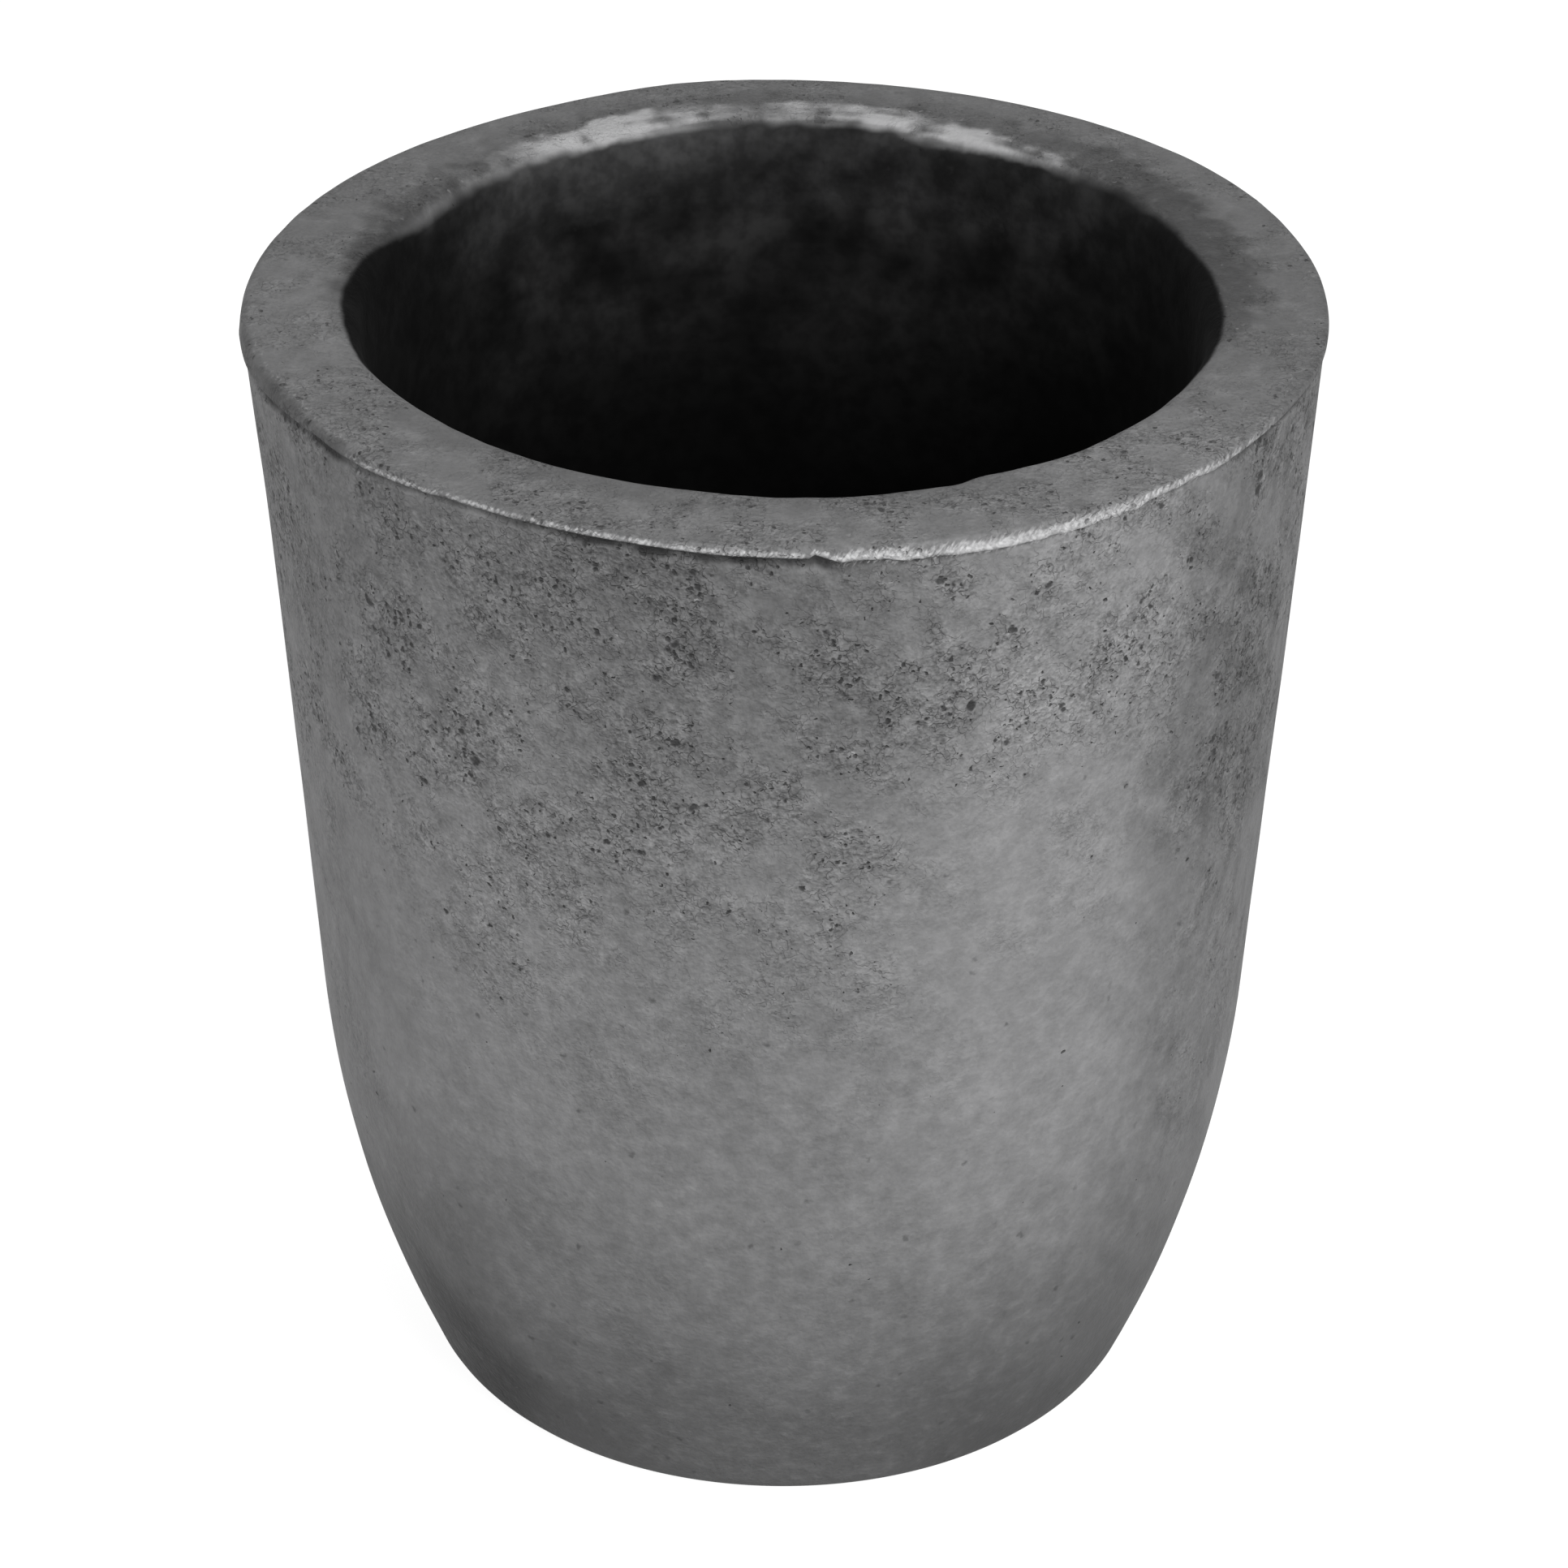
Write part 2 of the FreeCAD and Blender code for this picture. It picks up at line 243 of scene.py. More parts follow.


# The lip's rows run from below the groove, over the bead, up the face and to the edge of the rim's flat.
# A row's depth below the rim is its shares of the face's height, of half the bead's and of the groove's width.
# Its radius is the wall's, with its shares of the lip's overhang, the bead, the groove and the rolled edge.
# The last three say how strongly the row takes the bead's and the face's painted highlight and the groove's painted
# shade.
LIP_ZONE = 6.2
BEAD_HALF = 0.36
LIP_ROWS = [
    # depth: face, bead, groove | radius: lip, bead, groove, rolled | bead bright, face bright, groove shade
    (1.0, 2.0, 1.9, 0.0, 0.0, 0.0, 0.0, 0.0, 0.0, 0.0),
    (1.0, 2.0, 1.6, 0.0, 0.0, 0.0, 0.0, 0.0, 0.0, 0.1),
    (1.0, 2.0, 1.3, 0.0, 0.0, 0.5, 0.0, 0.0, 0.1, 0.5),
    (1.0, 2.0, 1.0, 0.0, 0.0, 1.0, 0.0, 0.0, 0.3, 1.0),
    (1.0, 2.0, 0.6, 0.0, 0.0, 1.0, 0.0, 0.0, 0.6, 1.0),
    (1.0, 2.0, 0.25, 0.3, 0.0, 0.6, 0.0, 0.0, 0.8, 0.9),
    (1.0, 2.0, 0.0, 0.7, 0.2, 0.0, 0.0, 0.3, 0.9, 0.3),
    (1.0, 1.6, 0.0, 1.0, 0.75, 0.0, 0.0, 0.9, 1.0, 0.0),
    (1.0, 1.0, 0.0, 1.0, 1.0, 0.0, 0.0, 1.0, 1.0, 0.0),
    (1.0, 0.4, 0.0, 1.0, 0.75, 0.0, 0.0, 0.95, 1.0, 0.0),
    (1.0, 0.0, 0.0, 1.0, 0.25, 0.0, 0.0, 0.55, 1.0, 0.0),
    (0.7, 0.0, 0.0, 1.0, 0.0, 0.0, 0.04, 0.1, 0.85, 0.0),
    (0.4, 0.0, 0.0, 1.0, 0.0, 0.0, 0.15, 0.0, 0.45, 0.0),
    (0.15, 0.0, 0.0, 0.8, 0.0, 0.0, 0.45, 0.0, 0.1, 0.0),
    (0.0, 0.0, 0.0, 0.0, 0.0, 0.0, 1.0, 0.0, 0.0, 0.0),
]


def lip_surface(angles):
    """Radius, height, painted highlight and painted shade of the lip's rows at every angle."""
    turn = np.radians(angles)
    circle = np.stack([np.sin(turn), np.cos(turn), np.zeros_like(turn)], -1) * RIM_RADIUS
    ragged = between(3, 8, 46, 62, angles) + 0.5 * between(-80, -50, -34, -22, angles)
    teeth = ragged * (0.2 * noise_at(circle, 1.2, 3) + 0.16 * noise_at(circle, 3.4, 4))
    depth = around(LIP_DEPTH, angles) + teeth + 0.05 * noise_at(circle, 6, 5)
    face = np.maximum(depth - BEAD_HALF, 0.06)
    bead = around(LIP_BEAD, angles) * (1 + 0.5 * noise_at(circle, 2.2, 6)) + 0.4 * np.maximum(teeth, -0.1)
    groove = around(LIP_GROOVE, angles) * (1 + 0.35 * noise_at(circle, 4, 7))
    rolled = around(LIP_ROLLED, angles) * (1 + 0.25 * noise_at(circle, 3, 10))
    bead_bright = around(LIP_RUBBED_HIGHLIGHT, angles)
    face_bright = around(LIP_FACE_RUBBED_HIGHLIGHT, angles) * bead_bright
    edge_bright = around(LIP_EDGE_RUBBED_HIGHLIGHT, angles)
    face_shade = around(LIP_FACE_SHADE, angles) * (1 + 0.5 * noise_at(circle, 3.5, 13))
    groove_shade = around(LIP_SHADE, angles) * np.clip(1 + 0.8 * noise_at(circle, 2.5, 11), 0, None)

    radii, heights, bright, shade = [], [], [], []
    for row in LIP_ROWS:
        below = row[0] * face + row[1] * BEAD_HALF + row[2] * groove
        wall = wall_point(below)[0]
        overhang = row[3] * (RIM_RADIUS - wall) + row[4] * bead - row[5] * 0.3 * groove - row[6] * rolled
        radii.append(wall + overhang)
        heights.append(RIM_HEIGHT - below)
        # Painted highlight of worn graphite on the bead, the face and the edge of the flat
        bright.append(np.maximum(np.maximum(row[7] * bead_bright, row[8] * face_bright), row[6] * edge_bright))
        # Painted shade on the lip's face and in the groove below it
        shade.append(np.maximum(row[9] * groove_shade, row[3] * face_shade))
    return [np.array(part) for part in (radii, heights, bright, shade)]


# Stains, painted light and painted shade: values at every point of the mesh, from its angle, its height and its
# length along the profile

def slanted_streaks(points, angles):
    """Streaks that slant down to the right, as if the skin had been wiped while it was soft."""
    twist = np.radians(angles + 1.15 * points[..., 2])
    radius = np.hypot(points[..., 0], points[..., 1])
    slanted = np.stack([radius * np.sin(twist), -radius * np.cos(twist), points[..., 2] / 5], -1)
    return noise_at(slanted, 6, 23) + 0.5 * noise_at(points, 4.5, 24)


def rough_places(points, angles, clouds, drift, wall, rim, sides):
    """Where the skin is rough and pitted: most on the upper wall at the front, less on the rim and the flanks."""
    up = points[..., 2]
    bearing = angles + 14 * clouds
    front = between(-110, -75, 25, 70, bearing)
    calm = 1 - 0.6 * between(10, 22, 42, 54, angles) * smooth(114, 98, up)
    zone = wall * (0.1 + 0.9 * smooth(58, 98, up + 16 * clouds)) * (0.6 + 0.4 * front) * calm
    zone += rim * (0.6 + 0.35 * between(-75, -45, 45, 70, bearing))
    zone += 0.45 * sides
    smeared = smooth(-0.3, 0.05, noise_at(points, 8, 39) + 0.3 * noise_at(points, 3, 40))
    return zone * (0.3 + 0.7 * smooth(-0.55, 0.0, drift)) * (0.4 + 0.6 * smeared)


def wall_tone(points, angles, clouds, drift, wall, sides):
    """Tone of the wall: light bands of painted sheen left and right of the front, painted shade on the flank, in the
    middle and round the foot, and a darker top.
    """
    up = points[..., 2]
    near = up + 5 * clouds
    bearing = angles + 14 * clouds
    # Painted shade: a darker band down the right flank, broken up along the streaks
    flank = between(40, 50, 70, 84, bearing) * (0.45 + 0.55 * smooth(-0.3, 0.4, drift))
    flank *= 0.4 + 0.6 * smooth(58, 86, up)
    top = smooth(84, 112, up + 16 * clouds) * between(-175, -60, 10, 30, bearing)
    # Painted shade high in the middle of the front
    middle = between(-28, -14, 6, 18, angles) * smooth(90, 112, near)
    # Painted sheen: lighter bands right and left of the front
    light = between(6, 26, 38, 52, angles) * smooth(30, 60, near)
    light += 0.7 * between(-66, -50, -32, -18, angles) * between(36, 58, 104, 126, near)
    tone = (1 + 0.06 * clouds) * (1 - wall * 0.26 * flank) * (1 - wall * (0.14 * top + 0.09 * middle))
    tone *= 1 + wall * 0.21 * light
    tone *= 1 - wall * 0.10 * smooth(110, 126, near) * between(-40, -25, 20, 40, angles)
    tone *= 1 - wall * 0.08 * smooth(-0.1, 0.4, drift)

    # Painted shade round the foot, darkest on its left
    tone *= 1 - smooth(44, 12, near) * (0.38 - 0.11 * between(-50, -25, 5, 30, angles))
    tone *= 1 - 0.55 * between(-96, -76, -54, -34, angles + 6 * clouds) * smooth(38, 14, near)
    tone *= 1 - 0.3 * smooth(16, 4, near) * (1 - between(-40, -12, 8, 36, angles))
    tone *= 1 - 0.45 * smooth(9, 2, near) * between(-92, -76, -54, -40, angles)

    # Dark blotches drawn out down the wall at its two sides
    blotches = noise_at(points * (1, 1, 0.4), 1.9, 35) + 0.5 * noise_at(points, 7, 36)
    return tone * (1 - 0.22 * sides * smooth(0.05, 0.45, blotches))


def rim_tone(points, angles, along, rim, inner, stray):
    """Tone of the rim: painted shade over its flat, brightest at the front right, darker behind, and smudged with
    soot outside the mouth.
    """
    behind = between(48, 66, 250, 275, angles % 360)
    front = 0.5 * between(-22, -5, 50, 72, angles) + between(26, 38, 64, 80, angles)
    # Painted shade over the whole flat; behind it is darker still and at the front right lighter
    tone = 1 - rim * (0.20 + 0.14 * behind - 0.09 * front)
    tone *= 1 - rim * 0.2 * smooth(-5, -1, along) * between(-75, -50, 22, 34, angles)
    tone *= 1 + rim * 0.16 * (noise_at(points, 3.4, 33) + 0.6 * noise_at(points, 1.7, 34))
    frayed = stray + 0.5 * noise_at(points, 1.1, 41)
    smudge = smooth(-2.0, 1.8, along + around(MOUTH_SMUDGE, angles) + 1.6 * frayed)
    return tone * (1 - inner * around(MOUTH_SMUDGE, angles, 2) * smudge)


def mouth_worn_highlight(angles, along, inner, stray, specks):
    """Where the mouth's far edge is worn and painted with a highlight, in brushed patches that the dark specks break
    up.
    """
    lengthwise = np.stack([np.radians(angles) * 10 + 0 * along, along, 0 * along], -1)
    brushed = noise_at(lengthwise, 1.1, 42)
    strength = around(MOUTH_RUBBED_HIGHLIGHT, angles)
    patches = strength * smooth(-0.9, 1.1, along + around(MOUTH_RUBBED_HIGHLIGHT, angles, 2) + 0.9 * stray)
    return np.clip(inner * patches * (1.05 + 0.6 * stray + 0.9 * brushed) * (1 - 0.6 * specks), 0, 1)


def mouth_soot(points, angles, along, inner, far):
    """Where the soot covers the body, with a ragged and soft upper edge on the far side."""
    ragged = noise_at(points, 3.2, 31) + 0.5 * noise_at(points, 1.5, 32)
    start = around(MOUTH_SOOT, angles) + (0.12 + 0.4 * far) * ragged
    return np.clip((along - start) / (0.9 + 1.4 * far) + 0.5, 0, 1) * inner


def soot_brightness(points, angles, along, far):
    """Brightness of the soot: near black, with pale dusty patches painted lighter high on the far wall where light
    reaches, and paler below its edge.
    """
    up, turned = points[..., 2], angles % 360
    cloudy = noise_at(points * (1, 1, 1.6), 8, 27) + 0.7 * noise_at(points * (1, 1, 1.4), 4, 28)
    # Pale dusty patches, painted lighter high on the far wall where the light reaches
    dust_and_painted_light = (0.0015 + 0.0115 * smooth(-0.7, 0.8, cloudy)) * smooth(94, 126, up)
    tone = 0.0019 + dust_and_painted_light * (0.12 + 0.88 * between(108, 148, 222, 248, turned))
    tone += (0.004 * far + 0.013 * between(178, 192, 222, 238, turned)) * smooth(12, 2, along)
    return tone + 0.0016 * between(136, 150, 168, 182, turned) * between(84, 93, 103, 112, up)


def stains_and_painted_light(points, angles, along, outside):
    """The attributes that the materials read: skin, tone with its painted light and shade, the mouth edge's wear and
    painted highlight, soot and the soot's own tone.
    """
    up = points[..., 2]
    clouds = noise_at(points, 15, 21) + 0.45 * noise_at(points, 6, 22)
    stray = noise_at(points, 5, 29) + 0.8 * noise_at(points, 2, 30)
    drift = slanted_streaks(points, angles)
    inner = 1 - outside
    wall = outside * smooth(131.4, 129.8, up)
    rim = (1 - smooth(131.4, 129.8, up)) * smooth(2.5, 1.0, along)
    sides = between(46, 56, 80, 100, angles) + 0.6 * between(-100, -84, -64, -52, angles)
    sides = wall * sides * smooth(30, 50, up)
    far = between(100, 130, 232, 262, angles % 360)
    specks = smooth(0.15, 0.65, noise_at(points, 2.8, 37) + 0.3 * noise_at(points, 1.4, 38))
    specks = far * smooth(-8, -4, along) * specks

    tone = wall_tone(points, angles, clouds, drift, wall, sides)
    tone *= rim_tone(points, angles, along, rim, inner, stray)
    tone *= 1 - 0.35 * inner * specks
    return {
        "rough_skin": rough_places(points, angles, clouds, drift, wall, rim, sides),
        "tone": tone,
        "polished_highlight": mouth_worn_highlight(angles, along, inner, stray, specks),
        "soot": mouth_soot(points, angles, along, inner, far),
        "soot_tone": soot_brightness(points, angles, along, far),
    }


# The crucible's surface as a grid: one row for each point of the profile, one column for each angle

def stacked_rows(lip_radii, lip_heights):
    """Radius and height of the whole grid, and which of its rows are the lip, the flat, the mouth and the cavity."""
    def spread(rows):
        return np.repeat(rows[:, 0:1], COLUMNS, 1), np.repeat(rows[:, 1:2], COLUMNS, 1)

    flat, mouth, cavity = inside_rows()
    parts = [spread(outside_rows()), (lip_radii, lip_heights), spread(flat), spread(mouth), spread(cavity)]
    radius = np.concatenate([part[0] for part in parts])
    height = np.concatenate([part[1] for part in parts])
    ends = np.cumsum([len(part[0]) for part in parts])
    return radius, height, [slice(a, b) for a, b in zip(ends[:-1], ends[1:])]


def length_along(profile, start):
    """Length along the profile, counted from its row at the start."""
    length = np.concatenate([[0], np.cumsum(np.linalg.norm(np.diff(profile, axis=0), axis=1))])
    return (length - length[start])[:, None] * np.ones(COLUMNS)


def bend_out_of_round(radius, height, angles, rim, edge, hollow):
    """Bend the rim and the mouth, fading down the wall and across the flat. Returns each row's share of both."""
    outer = np.zeros(len(radius))
    outer[:rim.stop] = 1
    outer[rim] = smooth(51, 57, radius[rim, 0])
    fade = smooth(RIM_HEIGHT - 26, RIM_HEIGHT - 1, height[:, 0]) * outer
    radius += fade[:, None] * blurred(around(RIM_OUT_OF_ROUND, angles), 5)
    inner = np.zeros(len(radius))
    inner[edge] = 1
    inner[rim] = smooth(54, 49, radius[rim, 0])
    inner[hollow] = smooth(RIM_HEIGHT - 22, RIM_HEIGHT - 3, height[hollow, 0])
    radius += inner[:, None] * blurred(around(MOUTH_WAVE, angles), 2)
    return outer[:, None], inner[:, None]


def unevenness(points, angles, along, outer, inner, rim):
    """How far the pressed and fired body stands out at every point, less what is worn off the mouth's edge."""
    push = 0.10 * noise_at(points, 26, 1) + 0.045 * noise_at(points, 9, 2)
    worn = between(-3.5, 0.5, 2.0, 5.0, along) * (1 - outer * (1 - inner))
    depth = around(MOUTH_WORN, angles)
    push -= worn * depth * (0.5 + 0.4 * noise_at(points, 4.2, 8) + 0.15 * noise_at(points, 1.9, 9))
    push -= worn * (0.03 + 0.03 * noise_at(points, 2.2, 12))

    # None under the foot, and less of it on the lip and the rim's flat
    height = points[:, 0, 2]
    keep = smooth(0, 6, height)
    keep[:rim.start][height[:rim.start] > RIM_HEIGHT - LIP_ZONE] = 0.3
    keep[rim] = 0.5
    return push * keep[:, None]


def grid_points(radius, height, angles):
    """The grid's points in space, with the angle 0 toward the camera."""
    turn = np.radians(angles)
    return np.stack([radius * np.sin(turn), -radius * np.cos(turn), height], -1)


def closed_mesh(grid, soot_row):
    """The grid as one closed mesh, with a point at the centre of the foot and one at the centre of the cavity floor.

    Material 0 is the graphite and 1 the plain soot, which starts at the soot row and covers all that comes after it.
    """
    vertices = np.concatenate([[[0, 0, 0]], grid.reshape(-1, 3), [[0, 0, CAVITY_FLOOR]]]) / 1000
    index = 1 + np.arange(len(grid) * COLUMNS).reshape(-1, COLUMNS)
    beside = np.roll(index, -1, axis=1)
    quads = np.stack([index[:-1], beside[:-1], beside[1:], index[1:]], -1).reshape(-1, 4)
    foot_fan = [(0, int(b), int(a)) for a, b in zip(index[0], beside[0])]
    top = len(vertices) - 1
    floor_fan = [(int(a), int(b), top) for a, b in zip(index[-1], beside[-1])]

    mesh = bpy.data.meshes.new("crucible_body")
    mesh.from_pydata(vertices.tolist(), [], quads.tolist() + foot_fan + floor_fan)
    mesh.validate()
    mesh.shade_smooth()
    before = soot_row * COLUMNS
    kinds = [0] * before + [1] * (len(quads) - before) + [0] * COLUMNS + [1] * COLUMNS
    mesh.polygons.foreach_set("material_index", kinds)
    return mesh


def build_crucible():
    """The worn crucible as one closed mesh, with the places where it is worn bright, stained and sooted, and its
    painted light and shade, kept as attributes.
    """
    angles = np.arange(COLUMNS) * 360.0 / COLUMNS - 180.0
    lip_radii, lip_heights, lip_bright, lip_shade = lip_surface(angles)
    radius, height, (lip, rim, edge, hollow) = stacked_rows(lip_radii, lip_heights)
    profile = np.stack([radius[:, 0], height[:, 0]], -1)
    along = length_along(profile, edge.start - 1)
    outer, inner = bend_out_of_round(radius, height, angles, rim, edge, hollow)
    points = grid_points(radius, height, angles)

    # The unevenness is pushed along the surface's own direction
    step = np.gradient(profile, axis=0)
    normal = np.stack([step[:, 1], -step[:, 0]], -1)
    normal /= np.linalg.norm(normal, axis=1)[:, None]
    push = unevenness(points, angles, along, outer, inner, rim)
    radius += push * normal[:, 0:1]
    height = np.clip(height + push * normal[:, 1:2], 0, None)
    mesh = closed_mesh(grid_points(radius, height, angles), hollow.start + 3)

    outside = np.zeros_like(radius)
    outside[:rim.start] = 1
    looks = stains_and_painted_light(points, angles, along, outside)
    looks["rubbed_highlight"] = np.zeros_like(radius)
    looks["shade"] = np.zeros_like(radius)
    looks["rubbed_highlight"][lip], looks["shade"][lip] = lip_bright, lip_shade
    for name, values in looks.items():
        padded = np.concatenate([[0], values.ravel(), [values[-1, 0]]]).astype(np.float32)
        mesh.attributes.new(name, "FLOAT", "POINT").data.foreach_set("value", padded)
    piece = bpy.data.objects.new("crucible_body", mesh)
    bpy.context.scene.collection.objects.link(piece)
    return piece


# Materials. Values are shares of the light that a surface sends back: plain body, bright flecks of painted glints,
# pits, painted shade in the groove below the lip, the lip's worn graphite and painted highlight from and to, and the
# mouth's worn edge and painted highlight.
BODY_VALUE = 0.142
GLINT_FLECK_VALUE = 0.24
PIT_VALUE = 0.022
PAINTED_SHADE_VALUE = 0.025
RUBBED_HIGHLIGHT_VALUES = (0.22, 0.34)
POLISHED_HIGHLIGHT_VALUE = 0.28
SPECULAR = 0.05

# Size in millimetres of the cells that hold one pit each, for the fine and the coarse pits
FINE_PITS = 0.8
COARSE_PITS = 1.9


class Nodes:
    """Shorthand for the node tree of one material. Numbers and sockets are both accepted as inputs."""

    def __init__(self, material):
        material.use_nodes = True
        self.tree = material.node_tree
        self.tree.nodes.clear()

    def add(self, kind, inputs=(), **settings):
        node = self.tree.nodes.new(kind)
        for name, value in settings.items():
            setattr(node, name, value)
        for name, value in dict(inputs).items():
            self.feed(node.inputs[name], value)
        return node

    def feed(self, socket, value):
        if isinstance(value, bpy.types.NodeSocket):
            self.tree.links.new(value, socket)
        else:
            socket.default_value = value

    def math(self, operation, a, b=0.0, clamp=False):
        node = self.add("ShaderNodeMath", {0: a, 1: b}, operation=operation, use_clamp=clamp)
        return node.outputs[0]

    def rise(self, value, low, high, bottom=0.0, top=1.0):
        """A smooth step from bottom to top while the value goes from low to high."""
        node = self.add("ShaderNodeMapRange", {0: value, 1: low, 2: high, 3: bottom, 4: top},
                        interpolation_type="SMOOTHSTEP")
        return node.outputs[0]

    def mix(self, share, a, b):
        """A number between a and b."""
        node = self.add("ShaderNodeMix", {0: share, 2: a, 3: b}, data_type="FLOAT")
        return node.outputs[0]

    def noise(self, vector, size, detail=2.0, roughness=0.5):
        """Noise from 0 to 1 with bumps about as large as the size in millimetres."""
        inputs = {"Vector": vector, "Scale": 1.0 / size, "Detail": detail, "Roughness": roughness}
        return self.add("ShaderNodeTexNoise", inputs).outputs["Fac"]

    def cells(self, vector, size):
        """A Voronoi pattern with cells about as large as the size in millimetres."""
        return self.add("ShaderNodeTexVoronoi", {"Vector": vector, "Scale": 1 / size, "Randomness": 1.0})

    def random(self, cells, channel):
        """One of the random numbers that every cell of the pattern has."""
        return self.add("ShaderNodeSeparateColor", {0: cells.outputs["Color"]}).outputs[channel]

    def attribute(self, name):
        return self.add("ShaderNodeAttribute", attribute_name=name).outputs["Fac"]

    def shift(self, vector, x, y, z):
        return self.add("ShaderNodeVectorMath", {0: vector, 1: (x, y, z)}, operation="ADD").outputs[0]

    def finish(self, surface, kind="ShaderNodeOutputMaterial"):
        self.tree.links.new(surface, self.add(kind).inputs[0])


def warped(n, vector, size, amount):
    """The coordinates, bent by noise so that what is drawn on them loses its regular outline."""
    bend = n.add("ShaderNodeTexNoise", {"Vector": vector, "Scale": 1.0 / size, "Detail": 1.0}).outputs["Color"]
    centred = n.add("ShaderNodeVectorMath", {0: bend, 1: (0.5, 0.5, 0.5)}, operation="SUBTRACT").outputs[0]
    scaled = n.add("ShaderNodeVectorMath", {0: centred, "Scale": amount}, operation="SCALE").outputs[0]
    return n.add("ShaderNodeVectorMath", {0: vector, 1: scaled}, operation="ADD").outputs[0]


def pits(n, cells, spacing, largest, share):
    """Scattered pits of mixed size: one in each cell whose own random number is under the share."""
    radius = n.math("MULTIPLY", n.math("SUBTRACT", share, n.random(cells, 0)), largest / spacing)
    inner = n.math("MULTIPLY", radius, 0.35)
    return n.rise(cells.outputs["Distance"], n.math("MAXIMUM", radius, 0.001), inner)


def drawn_out(n, vector, turn, stretch):
    """The coordinates, turned about the depth axis and stretched, so that what is drawn on them slants."""
    settings = {"Vector": vector, "Rotation": (0.0, turn, 0.0), "Scale": stretch}
    return n.add("ShaderNodeMapping", settings, vector_type="TEXTURE").outputs[0]


def millimetres(n):
    """The piece's own coordinates in millimetres."""
    place = n.add("ShaderNodeTexCoord").outputs["Object"]
    return n.add("ShaderNodeVectorMath", {0: place, "Scale": 1000.0}, operation="SCALE").outputs[0]


def mottling(n, mm):
    """Soft clouds of about two millimetres."""
    return n.noise(n.shift(mm, 0, 40, 9), 2.2, 2.5, 0.6)


def sooty_value(n, mottle):
    """The soot's own tone from the mesh, in soft blotches."""
    return n.math("MULTIPLY", n.attribute("soot_tone"), n.rise(mottle, 0.3, 0.7, 0.7, 1.3))


def surface_marks(n, mm, rough_skin):
    """Holes (pits and short scratches), and all dark marks and the bright flecks of painted glints with their
    strength.
    """
    bent = warped(n, mm, 0.7, 0.9)
    fine, coarse = n.cells(bent, FINE_PITS), n.cells(bent, COARSE_PITS)
    lines = drawn_out(n, n.shift(mm, 3, 11, 5), 0.75, (1.6, 1.0, 0.7))
    clusters = n.rise(n.noise(lines, 2.6, 1.0, 0.6), 0.38, 0.58, 0.3, 1.0)
    pitted = n.math("MULTIPLY", rough_skin, clusters)

    fine_share = n.math("ADD", n.mix(rough_skin, 0.03, 0.4), n.math("MULTIPLY", pitted, 0.4))
    fine_pits = pits(n, fine, FINE_PITS, 0.62, fine_share)
    coarse_pits = pits(n, coarse, COARSE_PITS, 1.05, n.mix(pitted, 0.16, 0.85))
    ridge = n.math("ABSOLUTE", n.math("SUBTRACT", n.noise(bent, 1.2, 1.0), 0.5))
    scratches = n.math("MULTIPLY", n.rise(ridge, 0.04, 0.008), n.math("MULTIPLY", pitted, 0.5))
    holes = n.math("MAXIMUM", n.math("MAXIMUM", fine_pits, coarse_pits), scratches)

    spots = n.math("MULTIPLY", n.rise(n.random(coarse, 1), 0.86, 0.97), 0.5)
    spots = n.math("MULTIPLY", n.rise(coarse.outputs["Distance"], 0.30, 0.08), spots)
    marks = n.math("MAXIMUM", n.math("MULTIPLY", holes, 0.92), spots)
    # Painted glints: a few bright flecks, most where the skin is pitted
    flecks = n.math("MULTIPLY", n.rise(n.random(fine, 1), 0.9, 0.94), n.mix(pitted, 0.1, 0.8))
    flecks = n.math("MULTIPLY", n.rise(fine.outputs["Distance"], 0.35, 0.1), flecks)
    return holes, marks, flecks


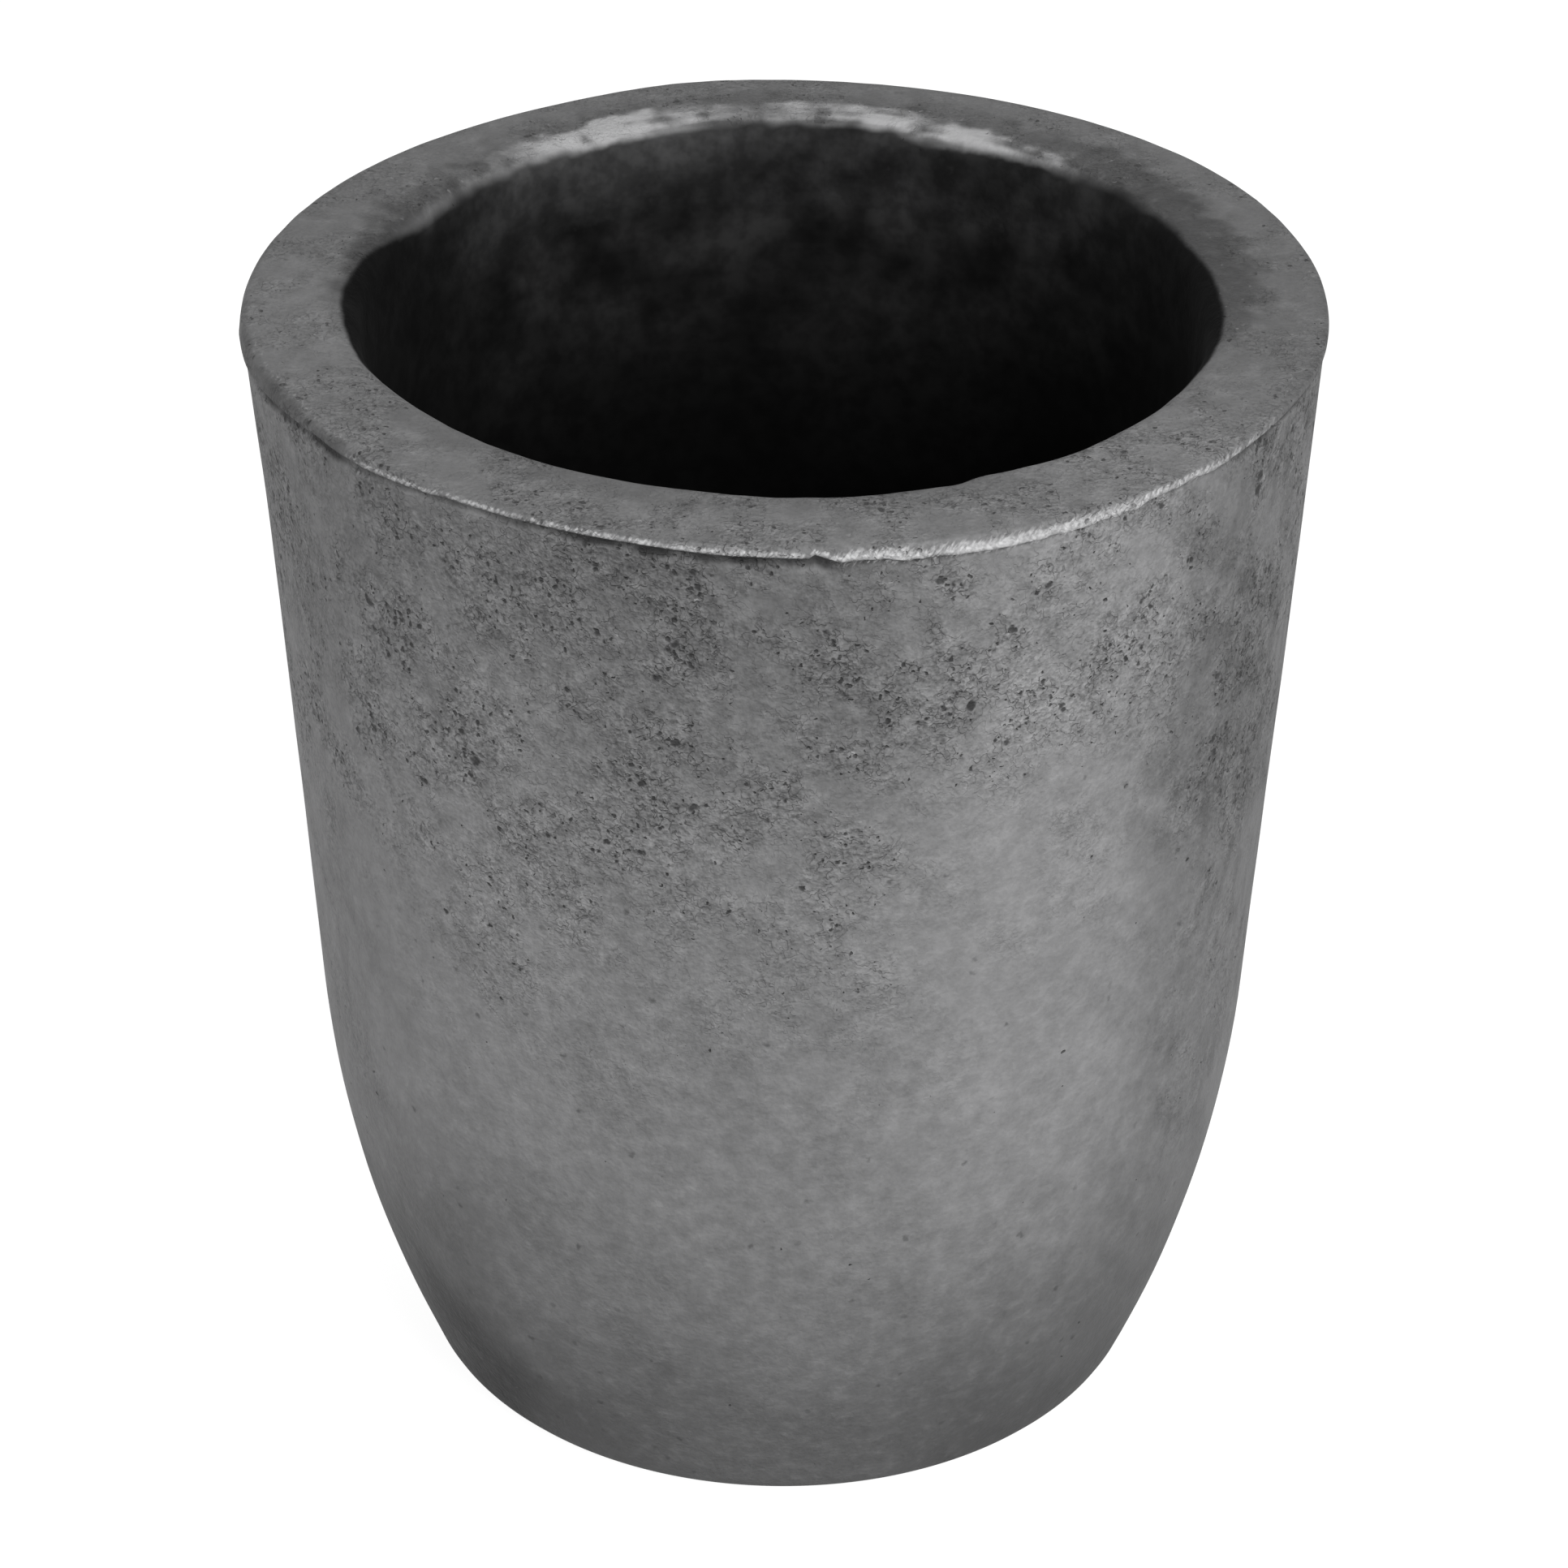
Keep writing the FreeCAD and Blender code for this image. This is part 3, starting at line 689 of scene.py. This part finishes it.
def graphite_material():
    """Matte clay-graphite: mottle, grain, pits and scratches, painted glints, worn bright edges with a painted
    highlight, painted shade and the soot round the mouth.
    """
    material = bpy.data.materials.new("graphite_surface")
    n = Nodes(material)
    mm = millimetres(n)
    rough_skin = n.attribute("rough_skin")
    holes, marks, flecks = surface_marks(n, mm, rough_skin)

    # Tone of the body: stained patches, painted light and painted shade from the mesh, mottle and grain,
    # then flecks of painted glints, pits and the shade painted below the lip
    mottle = mottling(n, mm)
    grain = n.noise(mm, 0.5, 1.0, 0.65)
    centred = n.math("SUBTRACT", mottle, 0.5)
    tone = n.math("MULTIPLY", centred, n.mix(rough_skin, 0.55, 1.1))
    tone = n.math("ADD", tone, n.math("MULTIPLY", n.math("SUBTRACT", grain, 0.5), n.mix(rough_skin, 0.2, 1.3)))
    tone = n.math("MULTIPLY", n.math("ADD", tone, 1.0), n.attribute("tone"))
    value = n.mix(flecks, n.math("MULTIPLY", tone, BODY_VALUE), GLINT_FLECK_VALUE)
    value = n.mix(marks, value, PIT_VALUE)
    # Painted shade in the groove below the lip and on its face
    value = n.mix(n.math("MULTIPLY", n.attribute("shade"), 0.85, clamp=True), value, PAINTED_SHADE_VALUE)

    # Worn graphite with a painted highlight: streaked on the lip, soft and patchy on the far edge of the mouth
    streaks = n.rise(n.noise(drawn_out(n, mm, -0.9, (1.3, 1.3, 0.36)), 0.8, 1.5, 0.6), 0.34, 0.66)
    shine = n.math("SUBTRACT", n.math("MULTIPLY", n.attribute("rubbed_highlight"), 1.35), n.math("MULTIPLY", streaks, 0.65))
    shine = n.math("MULTIPLY", n.rise(shine, 0.0, 0.9), n.math("SUBTRACT", 1.0, n.math("MULTIPLY", holes, 0.6)))
    value = n.mix(shine, value, n.rise(grain, 0.3, 0.7, *RUBBED_HIGHLIGHT_VALUES))
    # Painted highlight on the worn far edge of the mouth
    polish_highlight = n.rise(n.math("ADD", n.attribute("polished_highlight"), n.math("MULTIPLY", centred, 0.7)), -0.05, 1.05)
    value = n.mix(polish_highlight, value, POLISHED_HIGHLIGHT_VALUE)

    # Soot that starts at the mouth
    soot = n.rise(n.math("ADD", n.attribute("soot"), n.math("MULTIPLY", centred, 0.5)), 0.05, 0.95)
    value = n.mix(soot, value, sooty_value(n, mottle))

    colour = n.add("ShaderNodeCombineColor", {0: value, 1: value, 2: n.math("MULTIPLY", value, 1.01)}).outputs[0]
    rough = n.rise(mottle, 0.3, 0.7, 0.54, 0.66)
    rough = n.mix(shine, rough, 0.48)
    rough = n.mix(soot, rough, 1.0)
    metal = n.math("MULTIPLY", shine, 0.1)

    # Relief in millimetres
    relief = n.math("MULTIPLY", grain, n.mix(rough_skin, 0.05, 0.25))
    relief = n.math("ADD", relief, n.math("MULTIPLY", mottle, n.mix(rough_skin, 0.18, 0.60)))
    relief = n.math("SUBTRACT", relief, n.math("MULTIPLY", holes, 0.20))
    bump = n.add("ShaderNodeBump", {"Strength": 1.0, "Distance": 0.001, "Height": relief}).outputs[0]

    inputs = {"Base Color": colour, "Roughness": rough, "Metallic": metal, "Specular IOR Level": SPECULAR,
              "Normal": bump}
    n.finish(n.add("ShaderNodeBsdfPrincipled", inputs).outputs[0])
    return material


def soot_material():
    """Matte soot on the walls and floor of the cavity, in the same blotches as at the mouth."""
    material = bpy.data.materials.new("soot_surface")
    n = Nodes(material)
    value = sooty_value(n, mottling(n, millimetres(n)))
    colour = n.add("ShaderNodeCombineColor", {0: value, 1: value, 2: value}).outputs[0]
    inputs = {"Base Color": colour, "Roughness": 1.0, "Specular IOR Level": SPECULAR}
    n.finish(n.add("ShaderNodeBsdfPrincipled", inputs).outputs[0])
    return material


def seen_directly(n):
    """1 for rays that come from the camera or from a glossy or clear surface, 0 for the light's own bounces."""
    path = n.add("ShaderNodeLightPath").outputs
    direct = n.math("MAXIMUM", path["Is Camera Ray"], path["Is Glossy Ray"])
    return n.math("MAXIMUM", direct, path["Is Transmission Ray"])


def floor_material():
    """A pale matte floor that reads as white and keeps a soft shadow."""
    material = bpy.data.materials.new("studio_floor")
    n = Nodes(material)
    place = n.add("ShaderNodeTexCoord").outputs["Object"]
    reach = n.add("ShaderNodeVectorMath", {0: place}, operation="LENGTH").outputs["Value"]
    matte = n.add("ShaderNodeBsdfDiffuse", {"Color": (0.14, 0.14, 0.14, 1.0)}).outputs[0]
    glow = n.math("MULTIPLY", seen_directly(n), n.rise(reach, 0.3, 1.5, 0.92, 1.0))
    glow = n.add("ShaderNodeEmission", {"Strength": glow}).outputs[0]
    n.finish(n.add("ShaderNodeAddShader", {0: matte, 1: glow}).outputs[0])
    return material


# Studio. Angles are in degrees, lengths in metres from here on.
AMBIENT = 0.26
LAMP_WIDTH = 0.8
LAMPS = [
    # name, azimuth, elevation, level
    ("key_lamp", 34, 30, 1.36),
    ("fill_lamp", -38, 20, 0.50),
    ("left_lamp", -95, 5, 0.60),
    ("right_lamp", 70, 5, 0.20),
    ("back_lamp", 180, 35, 0.30),
]


def build_floor():
    """A plane just under the foot, large enough for every view."""
    reach = 4.0
    corners = [(-reach, -reach, 0), (reach, -reach, 0), (reach, reach, 0), (-reach, reach, 0)]
    mesh = bpy.data.meshes.new("studio_floor")
    mesh.from_pydata(corners, [], [(0, 1, 2, 3)])
    mesh.materials.append(floor_material())
    floor = bpy.data.objects.new("studio_floor", mesh)
    floor.location.z = -0.0001
    bpy.context.scene.collection.objects.link(floor)
    return floor


def build_world(ambient):
    """An even pale surrounding that lights at the ambient level and is seen as white."""
    world = bpy.data.worlds.new("studio_world")
    bpy.context.scene.world = world
    n = Nodes(world)
    strength = n.mix(seen_directly(n), ambient, 1.0)
    background = n.add("ShaderNodeBackground", {"Color": (1.0, 1.0, 1.0, 1.0), "Strength": strength}).outputs[0]
    n.finish(background, "ShaderNodeOutputWorld")


def soft_lamp(name, azimuth, elevation, level, distance=1.5):
    """A square lamp aimed at the crucible. Level 1 lights a surface that faces it to its own colour."""
    data = bpy.data.lights.new(name, "AREA")
    data.size = LAMP_WIDTH
    data.energy = level * (math.pi * distance) ** 2
    lamp = bpy.data.objects.new(name, data)
    turn, rise = math.radians(azimuth), math.radians(elevation)
    toward = Vector((math.sin(turn) * math.cos(rise), -math.cos(turn) * math.cos(rise), math.sin(rise)))
    lamp.location = Vector((0, 0, 0.08)) + toward * distance
    lamp.rotation_euler = toward.to_track_quat("Z", "Y").to_euler()
    bpy.context.scene.collection.objects.link(lamp)


def build_camera():
    """The photograph's viewpoint: about two thirds of a metre away, 31 degrees down, with a slight lean."""
    data = bpy.data.cameras.new("photo_camera")
    data.sensor_width = 36.0
    data.lens = 122.48
    camera = bpy.data.objects.new("photo_camera", data)
    pitch, lean = math.radians(90 - 30.632), math.radians(0.408)
    look = Matrix.Rotation(pitch, 4, "X") @ Matrix.Rotation(lean, 4, "Z")
    camera.matrix_world = Matrix.Translation((0.0, -0.5274, 0.3821)) @ look
    bpy.context.scene.collection.objects.link(camera)
    bpy.context.scene.camera = camera


# The piece

crucible = build_crucible()
crucible.data.materials.append(graphite_material())
crucible.data.materials.append(soot_material())
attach(crucible, "root")
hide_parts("crucible")

build_floor()
build_world(AMBIENT)
for lamp in LAMPS:
    soft_lamp(*lamp)
build_camera()
bpy.context.scene.view_settings.view_transform = "Standard"
